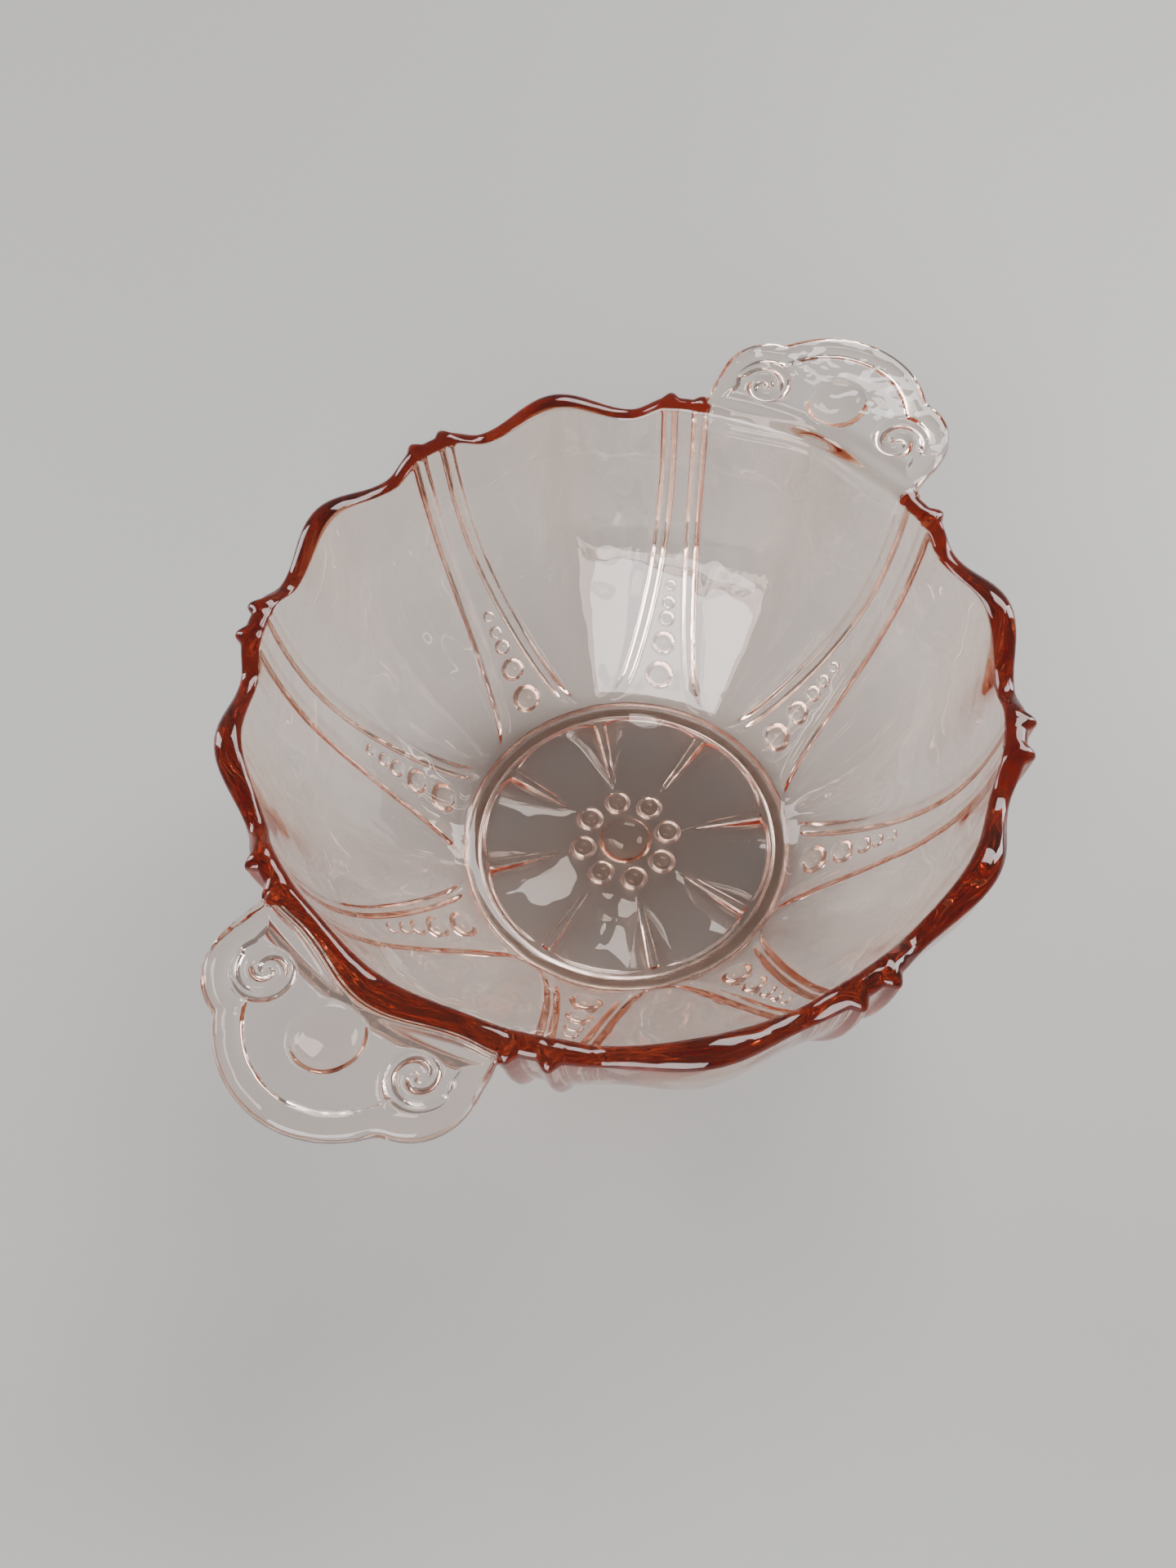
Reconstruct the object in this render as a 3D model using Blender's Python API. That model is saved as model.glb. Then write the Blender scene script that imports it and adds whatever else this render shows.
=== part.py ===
"""Two-handled candy dish of pressed pink glass: a deep bowl of eight lobes with twin ribs between them,
rows of pearls on the ribbed bands, a sunburst base and two flat tab handles. Metres, +Z up.

The dish stands on z = 0, centred on the Z axis, with a handle on +X and one on -X. The real dish is one
pressing; here each portion of the moulding is a solid of its own, PORTION_GAP clear of its neighbours.
"""

import math

import bmesh
import bpy
from mathutils import Matrix, Vector

MM = 0.001

# Driving dimensions
RIM_RADIUS = 80.0 * MM          # outside of the rim, in the notch between two twin ribs
RIM_HEIGHT = 78.2 * MM
WALL_THICKNESS = 4.5 * MM
LOBES = 8
PORTION_GAP = 0.3 * MM

# Foot and floor
FOOT_RADIUS = 0.530 * RIM_RADIUS
FOOT_HEIGHT = 3.0 * MM
FOOT_WIDTH = 5.0 * MM
FOOT_FLAT = 2.4 * MM            # width of the flat that touches the table
FOOT_SHOULDER = 0.55 * FOOT_HEIGHT
FOOT_CORNER_IN = 0.15 * FOOT_WIDTH
FOOT_CORNER_UP = 0.15 * FOOT_HEIGHT
FOOT_SEGMENTS = 96
FLOOR_RADIUS = 0.456 * RIM_RADIUS
FLOOR_TOP = 7.2 * MM

# Outside profile of the wall, as a cubic curve from the foot to the rim: (radius, height)
RIM_ROUNDING = 1.7 * MM
RIM_STEPS = ((0.12, 0.7), (0.5, 1.0), (0.88, 0.7))      # (way inwards, way up the rounding)
WALL_BOTTOM = FOOT_HEIGHT + PORTION_GAP
PROFILE = (
    Vector((FOOT_RADIUS, WALL_BOTTOM)),
    Vector((0.860 * RIM_RADIUS, 0.380 * RIM_RADIUS)),
    Vector((0.985 * RIM_RADIUS, 0.550 * RIM_RADIUS)),
    Vector((RIM_RADIUS, RIM_HEIGHT - RIM_ROUNDING)),
)
FILLET_AT = 0.06                # where along the profile the inside turns into the floor
FILLET_STEPS = (0.3, 0.65, 1.0)

# Lobes and ribs; the lobe is measured across from 0 at its middle to 1 at its rib
SECTOR = 2 * math.pi / LOBES
LOBE_HALF_ANGLE = math.radians(19.8)
LOBE_TIP_ANGLE = math.radians(3.0)
LOBE_CREST = 0.0225 * RIM_RADIUS
LOBE_DIP = 0.0125 * RIM_RADIUS
LOBE_DIP_AT = 0.66
INSIDE_RELIEF = 0.33            # how much of the lobes' relief shows inside
CREST_RISE = 0.8 * MM           # how far the rim stands above its mean height at a lobe's crest
DIP_DROP = 3.4 * MM             # and how far it falls below it at a lobe's dips
RIB_HEIGHT = 1.6 * MM
RIB_WIDTH = 1.8 * MM
RELIEF_AT_FOOT = 0.30
RELIEF_FADE = 0.08              # share of the wall's height over which relief fades in above the foot
LOBE_STEPS = (0.0, 0.22, 0.44, 0.66, 0.83, 1.0)
BAND_STEPS = (0.5, 1.0)
LOW_WALL_STEPS = (0.03, 0.06, 0.11, 0.17)
HIGH_WALL_STEPS = (0.25, 0.34, 0.44, 0.55, 0.67, 0.79, 0.90, 1.0)
WALL_STEPS = LOW_WALL_STEPS + HIGH_WALL_STEPS

# Pearls of one band, foot to rim: (height on the wall, radius)
BAND_PEARLS = (
    (0.121 * RIM_RADIUS, 0.046 * RIM_RADIUS),
    (0.202 * RIM_RADIUS, 0.038 * RIM_RADIUS),
    (0.265 * RIM_RADIUS, 0.026 * RIM_RADIUS),
    (0.307 * RIM_RADIUS, 0.021 * RIM_RADIUS),
    (0.354 * RIM_RADIUS, 0.018 * RIM_RADIUS),
)
PEARL_FLATTENING = 0.85         # how far a pearl stands proud, in radii
FINE_PEARLS = 2                 # the pearls at the foot that are big enough for finer faces
PROFILE_HALVINGS = 30

# Sunburst under the floor
MEDALLION_BOTTOM = 3.0 * MM
PEARL_BED_INNER = 0.10 * RIM_RADIUS     # the flat that the ring of pearls stands on starts here
PETAL_INNER = 0.15 * RIM_RADIUS
PETAL_OUTER = 0.440 * RIM_RADIUS
PETAL_DEPTH = 2.0 * MM
PETAL_ROUNDNESS = 3.0           # how flat a flute is in its middle and how steep at its ridges
PETAL_EDGE = 0.6 * MM           # run of the step at a petal's outer edge
PETAL_RINGS = (0.0, 0.3, 0.6, 0.8, 1.0)
PETAL_STEPS = 10
HUB_RADIUS = 0.082 * RIM_RADIUS
HUB_PROUD = 2.5 * MM
RING_PEARL_RADIUS = 0.040 * RIM_RADIUS
RING_PEARL_PROUD = 2.5 * MM
RING_RADIUS = 0.137 * RIM_RADIUS

# Tab handles: a middle lobe, two side lobes and a neck, seen from above
MIDDLE_LOBE = (Vector((1.0615 * RIM_RADIUS, 0.0)), 0.2835 * RIM_RADIUS)
SIDE_LOBE = (Vector((1.088 * RIM_RADIUS, 0.212 * RIM_RADIUS)), 0.140 * RIM_RADIUS)
NECK_HALF_WIDTH = 0.342 * RIM_RADIUS
NECK_BACK = 0.84 * RIM_RADIUS
HANDLE_SLOPE = math.radians(8.5)
HANDLE_TOP_AT_RIM = RIM_HEIGHT
HANDLE_THICKNESS = 4.6 * MM
HANDLE_EDGE = 0.9 * MM          # chamfer round the edge
BORDER_WIDTH = 4.4 * MM
BORDER_STEP = 0.8 * MM          # run of the slope from the border up to the field
FIELD_RECESS = 1.5 * MM
HANDLE_POINTS = 72
BUTTON_AT = 1.125 * RIM_RADIUS
BUTTON_RADIUS = 0.085 * RIM_RADIUS
BUTTON_HEIGHT = 1.6 * MM
CLEAR_ABOVE = 20.0 * MM         # how far over the rim the handles are cut clear of the bowl's mouth

GLASS_COLOUR = (0.93, 0.76, 0.70, 1.0)
GLASS_ROUGHNESS = 0.04
GLASS_IOR = 1.52


def clear_scene():
    for item in list(bpy.data.objects):
        bpy.data.objects.remove(item, do_unlink=True)


def glass_material(name):
    material = bpy.data.materials.new(name)
    material.use_nodes = True
    shader = material.node_tree.nodes["Principled BSDF"]
    shader.inputs["Base Color"].default_value = GLASS_COLOUR
    shader.inputs["Roughness"].default_value = GLASS_ROUGHNESS
    shader.inputs["Metallic"].default_value = 0.0
    shader.inputs["IOR"].default_value = GLASS_IOR
    shader.inputs["Transmission Weight"].default_value = 1.0
    return material


def smooth_step(value):
    value = min(max(value, 0.0), 1.0)
    return value * value * (3.0 - 2.0 * value)


def profile_point(t):
    """The outside of the wall before its relief, and the outward normal there."""
    a, b, c, d = PROFILE
    s = 1.0 - t
    point = s**3 * a + 3 * s * s * t * b + 3 * s * t * t * c + t**3 * d
    along = 3 * s * s * (b - a) + 6 * s * t * (c - b) + 3 * t * t * (d - c)
    along.normalize()
    return point, Vector((along.y, -along.x))


def height_share(height):
    return min(max((height - WALL_BOTTOM) / (RIM_HEIGHT - WALL_BOTTOM), 0.0), 1.0)


def lobe_half_angle(share):
    """Half the angle a lobe spans: rounded to a tip at the foot, nearly constant higher up."""
    spread = math.sqrt(1.0 - (1.0 - share) ** 4)
    return LOBE_TIP_ANGLE + (LOBE_HALF_ANGLE - LOBE_TIP_ANGLE) * spread


def lobe_wave(across, crest, dip):
    """A wave from the crest in a lobe's middle through its dip and back to nothing at its rib."""
    if across <= LOBE_DIP_AT:
        fall = 0.5 * (1.0 - math.cos(math.pi * across / LOBE_DIP_AT))
        return crest - (crest + dip) * fall
    rise = (across - LOBE_DIP_AT) / (1.0 - LOBE_DIP_AT)
    return -dip * 0.5 * (1.0 + math.cos(math.pi * rise))


def lobe_relief(across):
    return lobe_wave(across, LOBE_CREST, LOBE_DIP)


def rim_wave(column, share):
    """How far the wave along the rim lifts a column; a handle's lobe has none."""
    sector, _, zone, step = column
    if zone == "band" or sector % (LOBES // 2) == 0:
        return 0.0
    return share**4 * lobe_wave(step, CREST_RISE, DIP_DROP)


def relief_strength(share):
    fade_in = smooth_step(share / RELIEF_FADE)
    return fade_in * (RELIEF_AT_FOOT + (1.0 - RELIEF_AT_FOOT) * smooth_step(share))


def columns():
    """One entry per column of the wall: sector, side of the lobe, place across the lobe or the band."""
    half = [("lobe", step) for step in LOBE_STEPS] + [("band", step) for step in BAND_STEPS]
    result = []
    for sector in range(LOBES):
        result += [(sector, -1, zone, step) for zone, step in reversed(half[1:-1])]
        result += [(sector, 1, zone, step) for zone, step in half]
    return result


def column_angle(column, share):
    sector, side, zone, step = column
    edge = lobe_half_angle(share)
    inside = step * edge if zone == "lobe" else edge + step * (SECTOR / 2 - edge)
    return sector * SECTOR + side * inside


def outer_relief(column, radius, share):
    _, _, zone, step = column
    edge = lobe_half_angle(share)
    if zone == "lobe":
        lobes = lobe_relief(step)
        off_rib = (1.0 - step) * edge * radius
    else:
        lobes = 0.0
        off_rib = step * (SECTOR / 2 - edge) * radius
    rib = RIB_HEIGHT * math.exp(-((off_rib / RIB_WIDTH) ** 2))
    return relief_strength(share) * lobes + smooth_step(share / RELIEF_FADE) * rib


def inner_relief(column, share):
    _, _, zone, step = column
    lobes = lobe_relief(step) if zone == "lobe" else 0.0
    return INSIDE_RELIEF * relief_strength(share) * lobes


def ring_point(angle, point):
    return Vector((point.x * math.cos(angle), point.x * math.sin(angle), point.y))


def outer_row(t, allowance=0.0):
    point, normal = profile_point(t)
    share = height_share(point.y)
    row = []
    for column in columns():
        out = outer_relief(column, point.x, share) + allowance
        spot = point + normal * out + Vector((0.0, rim_wave(column, share)))
        row.append(ring_point(column_angle(column, share), spot))
    return row


def inner_row(t):
    point, normal = profile_point(t)
    share = height_share(point.y)
    row = []
    for column in columns():
        out = inner_relief(column, share) - WALL_THICKNESS
        spot = point + normal * out + Vector((0.0, rim_wave(column, share)))
        row.append(ring_point(column_angle(column, share), spot))
    return row


def level_row(radius, height, share):
    return [ring_point(column_angle(column, share), Vector((radius, height))) for column in columns()]


def rim_row(outer, inner, inward, lift):
    """Part of the way from the outside edge to the inside edge, lifted towards the top of the rim."""
    return [a.lerp(b, inward) + Vector((0.0, 0.0, lift)) for a, b in zip(outer, inner)]


def fillet_rows():
    """The round corner between the inside of the wall and the floor, wall side first."""
    start = inner_row(FILLET_AT)
    share = height_share(profile_point(FILLET_AT)[0].y)
    _, normal = profile_point(FILLET_AT)
    slope = Vector((-normal.y, normal.x))
    rows = []
    for step in FILLET_STEPS:
        row = []
        for column, top in zip(columns(), start):
            radius = math.hypot(top.x, top.y)
            drop = (top.z - FLOOR_TOP) / slope.y
            a = Vector((radius, top.z))
            b = Vector((radius - drop * slope.x, FLOOR_TOP))
            c = Vector((FLOOR_RADIUS, FLOOR_TOP))
            point = (1 - step) ** 2 * a + 2 * step * (1 - step) * b + step**2 * c
            row.append(ring_point(column_angle(column, share), point))
        rows.append(row)
    return rows


def loft(mesh, rows, closed):
    """Quads between neighbouring rows of points; a closed loft joins the last row to the first."""
    verts = [[mesh.verts.new(point) for point in row] for row in rows]
    count = len(verts[0])
    pairs = list(zip(verts, verts[1:])) + ([(verts[-1], verts[0])] if closed else [])
    for low, high in pairs:
        for i in range(count):
            j = (i + 1) % count
            mesh.faces.new((low[i], low[j], high[j], high[i]))
    return verts


def close_loft(mesh, rings):
    """A fan of triangles over each ring of corners, round a centre at the ring's mean."""
    for ring in rings:
        middle = sum((vert.co for vert in ring), Vector()) / len(ring)
        centre = mesh.verts.new(middle)
        for i, vert in enumerate(ring):
            mesh.faces.new((vert, ring[(i + 1) % len(ring)], centre))


def add_object(name, mesh, material):
    bmesh.ops.recalc_face_normals(mesh, faces=mesh.faces)
    data = bpy.data.meshes.new(name)
    mesh.to_mesh(data)
    mesh.free()
    data.shade_smooth()
    data.set_sharp_from_angle(angle=math.radians(40.0))
    item = bpy.data.objects.new(name, data)
    bpy.context.scene.collection.objects.link(item)
    if material:
        data.materials.append(material)
    return item


def add_helper(name, mesh):
    """A solid that only shapes another one."""
    item = add_object(name, mesh, None)
    item.hide_render = True
    item.display_type = "WIRE"
    return item


def apply_boolean(item, helper, operation):
    modifier = item.modifiers.new(operation.lower(), "BOOLEAN")
    modifier.operation = operation
    modifier.solver = "EXACT"
    modifier.object = helper


def add_pearl(mesh, centre, outward, radius, proud, subdivisions):
    """A sphere flattened along the surface's outward direction, half of it sunk in the surface."""
    turn = outward.to_track_quat("Z", "Y").to_matrix().to_4x4()
    shape = Matrix.Translation(centre) @ turn @ Matrix.Diagonal((1.0, 1.0, proud / radius, 1.0))
    bmesh.ops.create_icosphere(mesh, subdivisions=subdivisions, radius=radius, matrix=shape)


def profile_at_height(height):
    """The profile point and normal at a height, by halving the interval."""
    low, high = 0.0, 1.0
    for _ in range(PROFILE_HALVINGS):
        middle = 0.5 * (low + high)
        if profile_point(middle)[0].y < height:
            low = middle
        else:
            high = middle
    return profile_point(low)


def make_bowl_wall():
    outer = [level_row(FOOT_RADIUS, WALL_BOTTOM, height_share(profile_point(WALL_STEPS[0])[0].y))]
    outer += [outer_row(t) for t in WALL_STEPS]
    inner = [inner_row(t) for t in reversed(WALL_STEPS) if t >= FILLET_AT]
    rim = [
        rim_row(outer[-1], inner[0], inward, lift * RIM_ROUNDING)
        for inward, lift in RIM_STEPS
    ]
    inside = inner + fillet_rows()
    under = [level_row(FLOOR_RADIUS, WALL_BOTTOM, height_share(profile_point(FILLET_AT)[0].y))]
    mesh = bmesh.new()
    loft(mesh, outer + rim + inside + under, closed=True)
    wall = add_object("bowl_wall", mesh, glass_material("wall_glass"))

    pearls = bmesh.new()
    for sector in range(LOBES):
        angle = (sector + 0.5) * SECTOR
        for index, (height, radius) in enumerate(BAND_PEARLS):
            point, normal = profile_at_height(height)
            fineness = 2 if index < FINE_PEARLS else 1
            add_pearl(pearls, ring_point(angle, point), ring_point(angle, normal),
                      radius, radius * PEARL_FLATTENING, fineness)
    apply_boolean(wall, add_helper("band_pearls", pearls), "UNION")


def make_foot_ring():
    outer_bottom = FOOT_RADIUS - 0.5 * (FOOT_WIDTH - FOOT_FLAT)
    inner_bottom = outer_bottom - FOOT_FLAT
    inner_top = FOOT_RADIUS - FOOT_WIDTH
    section = (
        (FOOT_RADIUS, FOOT_HEIGHT),
        (FOOT_RADIUS, FOOT_SHOULDER),
        (FOOT_RADIUS - FOOT_CORNER_IN, FOOT_CORNER_UP),
        (outer_bottom, 0.0),
        (inner_bottom, 0.0),
        (inner_top + FOOT_CORNER_IN, FOOT_CORNER_UP),
        (inner_top, FOOT_SHOULDER),
        (inner_top, FOOT_HEIGHT),
    )
    turn = [2 * math.pi * i / FOOT_SEGMENTS for i in range(FOOT_SEGMENTS)]
    rows = []
    for radius, height in section:
        rows.append([ring_point(angle, Vector((radius, height))) for angle in turn])
    mesh = bmesh.new()
    loft(mesh, rows, closed=True)
    add_object("foot_ring", mesh, glass_material("foot_glass"))


def petal_hollow(radius, across):
    """How far a flute is hollowed up into the floor; across runs 0 to 1 between two ridges."""
    reach = smooth_step((radius - PETAL_INNER) / (PETAL_OUTER - PETAL_INNER))
    if radius > PETAL_OUTER:
        reach = 0.0
    return PETAL_DEPTH * reach * (1.0 - abs(2.0 * across - 1.0) ** PETAL_ROUNDNESS)


def make_medallion_floor():
    radius = FLOOR_RADIUS - PORTION_GAP
    count = LOBES * PETAL_STEPS
    petal_radii = [PETAL_INNER + share * (PETAL_OUTER - PETAL_INNER) for share in PETAL_RINGS]
    bottom_radii = [PEARL_BED_INNER] + petal_radii + [PETAL_OUTER + PETAL_EDGE, radius]
    rows = []
    for ring in bottom_radii:
        row = []
        for i in range(count):
            hollow = petal_hollow(ring, (i % PETAL_STEPS) / PETAL_STEPS)
            point = Vector((ring, MEDALLION_BOTTOM + hollow))
            row.append(ring_point(SECTOR * i / PETAL_STEPS, point))
        rows.append(row)
    for ring in (radius, PEARL_BED_INNER):
        rows.append([ring_point(SECTOR * i / PETAL_STEPS, Vector((ring, FLOOR_TOP))) for i in range(count)])
    mesh = bmesh.new()
    verts = loft(mesh, rows, closed=False)
    close_loft(mesh, (verts[0], verts[-1]))
    floor = add_object("medallion_floor", mesh, glass_material("floor_glass"))

    pearls = bmesh.new()
    down = Vector((0.0, 0.0, -1.0))
    add_pearl(pearls, Vector((0.0, 0.0, MEDALLION_BOTTOM)), down, HUB_RADIUS, HUB_PROUD, 3)
    for k in range(LOBES):
        centre = ring_point(k * SECTOR, Vector((RING_RADIUS, MEDALLION_BOTTOM)))
        add_pearl(pearls, centre, down, RING_PEARL_RADIUS, RING_PEARL_PROUD, 2)
    apply_boolean(floor, add_helper("medallion_pearls", pearls), "UNION")


def exit_distance(direction, shrink):
    """How far a ray from the middle lobe's centre runs before it leaves the handle's outline."""
    start = MIDDLE_LOBE[0]
    far = 0.0
    for centre, radius in (MIDDLE_LOBE, SIDE_LOBE, (Vector((SIDE_LOBE[0].x, -SIDE_LOBE[0].y)), SIDE_LOBE[1])):
        offset = centre - start
        along = direction.dot(offset)
        square = along * along - offset.length_squared + (radius - shrink) ** 2
        if square >= 0.0:
            far = max(far, along + math.sqrt(square))
    if direction.x < 0.0:
        back = (start.x - NECK_BACK) / -direction.x
        side = (NECK_HALF_WIDTH - shrink) / max(abs(direction.y), 1e-9)
        far = max(far, min(back, side))
    return far


def handle_loop(shrink, drop):
    """The outline drawn in by shrink, at a depth under the handle's sloping top face."""
    loop = []
    for i in range(HANDLE_POINTS):
        angle = 2 * math.pi * (i + 0.5) / HANDLE_POINTS
        direction = Vector((math.cos(angle), math.sin(angle)))
        spot = MIDDLE_LOBE[0] + direction * exit_distance(direction, shrink)
        top = HANDLE_TOP_AT_RIM + (spot.x - RIM_RADIUS) * math.tan(HANDLE_SLOPE)
        loop.append(Vector((spot.x, spot.y, top - drop)))
    return loop


def bowl_envelope():
    """The filled outside of the wall, one gap larger, that the handles are cut back to."""
    rows = [outer_row(t, PORTION_GAP) for t in HIGH_WALL_STEPS]
    top = [point + Vector((0.0, 0.0, CLEAR_ABOVE)) for point in rows[-1]]
    mesh = bmesh.new()
    verts = loft(mesh, rows + [top], closed=False)
    close_loft(mesh, (verts[0], verts[-1]))
    return add_helper("bowl_envelope", mesh)


def make_handles():
    envelope = bowl_envelope()
    material = glass_material("handle_glass")
    top_slope = math.tan(HANDLE_SLOPE)
    for name, turn in (("right_handle", 0.0), ("left_handle", math.pi)):
        loops = [
            handle_loop(HANDLE_EDGE, 0.0),
            handle_loop(0.0, HANDLE_EDGE),
            handle_loop(0.0, HANDLE_THICKNESS - HANDLE_EDGE),
            handle_loop(HANDLE_EDGE, HANDLE_THICKNESS),
            handle_loop(BORDER_WIDTH, HANDLE_THICKNESS),
            handle_loop(BORDER_WIDTH + BORDER_STEP, HANDLE_THICKNESS - FIELD_RECESS),
        ]
        spin = Matrix.Rotation(turn, 4, "Z")
        mesh = bmesh.new()
        verts = loft(mesh, loops, closed=False)
        mesh.faces.new(verts[0])
        mesh.faces.new(verts[-1])
        bmesh.ops.transform(mesh, matrix=spin, verts=mesh.verts)
        handle = add_object(name, mesh, material)

        button = bmesh.new()
        height = HANDLE_TOP_AT_RIM + (BUTTON_AT - RIM_RADIUS) * top_slope - HANDLE_THICKNESS + FIELD_RECESS
        squash = Matrix.Diagonal((1.0, 1.0, BUTTON_HEIGHT / BUTTON_RADIUS, 1.0))
        place = Matrix.Translation((BUTTON_AT, 0.0, height)) @ Matrix.Rotation(-HANDLE_SLOPE, 4, "Y")
        bmesh.ops.create_uvsphere(button, u_segments=28, v_segments=10, radius=BUTTON_RADIUS,
                                  matrix=spin @ place @ squash)
        apply_boolean(handle, envelope, "DIFFERENCE")
        apply_boolean(handle, add_helper(name + "_button", button), "UNION")


clear_scene()
make_bowl_wall()
make_foot_ring()
make_medallion_floor()
make_handles()
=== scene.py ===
"""The look of the two-handled candy dish: one unbroken body of clear pink pressed glass on a pale floor.

The real dish is a single pressing, so its five CAD portions are replaced here by one closed body with no
seams inside the glass. It is a mesh of rings that share one set of columns: they run from the top of the
rim down the outside and under the base, and from the top of the rim down the inside to the floor.
"""

import math

import bpy
import numpy as np
from mathutils import Matrix, Vector


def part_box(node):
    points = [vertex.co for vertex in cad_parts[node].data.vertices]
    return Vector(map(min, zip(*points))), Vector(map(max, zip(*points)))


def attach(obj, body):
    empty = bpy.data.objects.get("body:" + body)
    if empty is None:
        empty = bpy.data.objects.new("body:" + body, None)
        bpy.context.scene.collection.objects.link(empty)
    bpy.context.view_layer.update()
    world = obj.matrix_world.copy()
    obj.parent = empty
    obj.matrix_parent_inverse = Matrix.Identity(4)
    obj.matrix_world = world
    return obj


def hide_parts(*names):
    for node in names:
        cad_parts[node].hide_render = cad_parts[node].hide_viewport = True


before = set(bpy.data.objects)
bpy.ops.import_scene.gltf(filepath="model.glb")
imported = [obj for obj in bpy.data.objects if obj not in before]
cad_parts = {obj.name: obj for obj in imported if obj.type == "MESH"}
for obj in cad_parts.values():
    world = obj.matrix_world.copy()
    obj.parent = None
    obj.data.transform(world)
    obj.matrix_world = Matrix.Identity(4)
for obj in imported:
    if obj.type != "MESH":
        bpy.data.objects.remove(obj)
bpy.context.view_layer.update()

MM = 0.001

# Sizes that the CAD portions give
WALL_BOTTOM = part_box("bowl_wall")[0].z
FOOT_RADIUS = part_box("foot_ring")[1].x
FOOT_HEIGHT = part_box("foot_ring")[1].z
FLOOR_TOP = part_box("medallion_floor")[1].z
CREST_RISE = 0.8 * MM           # how far the rim stands above its mean height at a lobe's crest
RIM_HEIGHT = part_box("bowl_wall")[1].z - CREST_RISE

# Driving dimensions of the wall, as in the CAD
RIM_RADIUS = 80.0 * MM
WALL_THICKNESS = 4.5 * MM
RIM_ROUNDING = 1.7 * MM
FLOOR_RADIUS = 0.456 * RIM_RADIUS
FILLET_AT = 0.06                # where along the profile the inside turns into the floor
PROFILE = np.array((            # the outside of the wall as a cubic curve: (radius, height)
    (FOOT_RADIUS, WALL_BOTTOM),
    (0.860 * RIM_RADIUS, 0.380 * RIM_RADIUS),
    (0.985 * RIM_RADIUS, 0.550 * RIM_RADIUS),
    (RIM_RADIUS, RIM_HEIGHT - RIM_ROUNDING),
))

# Lobes, and the ribs along their edges
LOBES = 8
SECTOR = 2 * math.pi / LOBES
LOBE_HALF_ANGLE = math.radians(19.8)
LOBE_TIP_ANGLE = math.radians(3.0)
LOBE_CREST = 0.0225 * RIM_RADIUS
LOBE_DIP = 0.0125 * RIM_RADIUS
LOBE_DIP_AT = 0.66
INSIDE_RELIEF = 0.33            # how much of the lobes' relief shows inside
DIP_DROP = 3.4 * MM             # how far the rim falls below its mean height at a lobe's dips
RIB_HEIGHT = 1.7 * MM
RIB_WIDTH = 2.3 * MM            # half the width of a rib at its foot
RIB_FULLNESS = 1.7              # the rib's sides: 0.5 is a half ellipse, 2 a soft swell
RELIEF_AT_FOOT = 0.30
RELIEF_FADE = 0.08              # share of the wall's height over which relief fades in above the foot

# Pearls of one band, foot to rim: (height on the wall, radius)
BAND_PEARLS = (
    (0.121 * RIM_RADIUS, 0.046 * RIM_RADIUS),
    (0.202 * RIM_RADIUS, 0.038 * RIM_RADIUS),
    (0.265 * RIM_RADIUS, 0.026 * RIM_RADIUS),
    (0.307 * RIM_RADIUS, 0.021 * RIM_RADIUS),
    (0.354 * RIM_RADIUS, 0.018 * RIM_RADIUS),
)
PEARL_FLATTENING = 0.85         # how far a pearl stands proud, in radii

# Foot ring and the sunburst inside it
FOOT_WIDTH = 5.0 * MM
FOOT_FLAT = 2.4 * MM
FOOT_SHOULDER = 0.6             # share of the foot's height that its rounding takes
FOOT_CORNER = 0.5 * MM
MEDALLION_BOTTOM = 3.0 * MM
PETAL_INNER = 0.15 * RIM_RADIUS
PETAL_CUSP = 0.446 * RIM_RADIUS
PETAL_SCALLOP = 0.012 * RIM_RADIUS
PETAL_STEP = 0.9 * MM           # run of the step at a petal's outer edge
PETAL_DEPTH = 2.4 * MM
PETAL_ROUNDNESS = 3.0           # how flat a flute is in its middle and how steep at its ridges
RIDGE_WIDTH = 0.034             # half the width of the bead along a ridge, as a share of the radius
RIDGE_PROUD = 0.9 * MM
HUB_RADIUS = 0.082 * RIM_RADIUS
HUB_PROUD = 2.5 * MM
RING_PEARL_RADIUS = 0.040 * RIM_RADIUS
RING_PEARL_PROUD = 2.5 * MM
RING_RADIUS = 0.137 * RIM_RADIUS

# Tab handles, seen from above: a middle lobe, two side lobes and a neck
MIDDLE_LOBE = (1.0615 * RIM_RADIUS, 0.0, 0.2835 * RIM_RADIUS)
SIDE_LOBE = (1.088 * RIM_RADIUS, 0.212 * RIM_RADIUS, 0.140 * RIM_RADIUS)
NECK_HALF_WIDTH = 0.342 * RIM_RADIUS
NECK_BACK = 0.84 * RIM_RADIUS
NOTCH_SOFTNESS = 0.5 * MM
HANDLE_SLOPE = math.tan(math.radians(8.5))
HANDLE_THICKNESS = 4.6 * MM
HANDLE_EDGE = 2.1 * MM          # rounding of the tab's outer edge
HANDLE_BLEND = 5.0 * MM         # reach beyond the wall at which a tab has its full section
BORDER_WIDTH = 5.0 * MM
FIELD_RECESS = 1.5 * MM
BUTTON_AT = 1.125 * RIM_RADIUS
BUTTON_RADIUS = 0.085 * RIM_RADIUS
BUTTON_HEIGHT = 1.8 * MM
SCROLL_AT = (1.085 * RIM_RADIUS, 0.215 * RIM_RADIUS)
SCROLL_RADIUS = 0.080 * RIM_RADIUS
SCROLL_TURNS = 1.6
SCROLL_LINE = 0.95 * MM
SCROLL_HEIGHT = 1.4 * MM
ROOT_REACH = 5.5 * MM           # how far from the rim the recess under a tab begins
ROOT_STEP = 3.0 * MM
ROOT_FILLET = 2.0 * MM
ROOT_DROP = 2.6 * MM
ROOT_FILLET_SHARE = 0.3         # the most of a tab's length that the fillet takes

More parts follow.
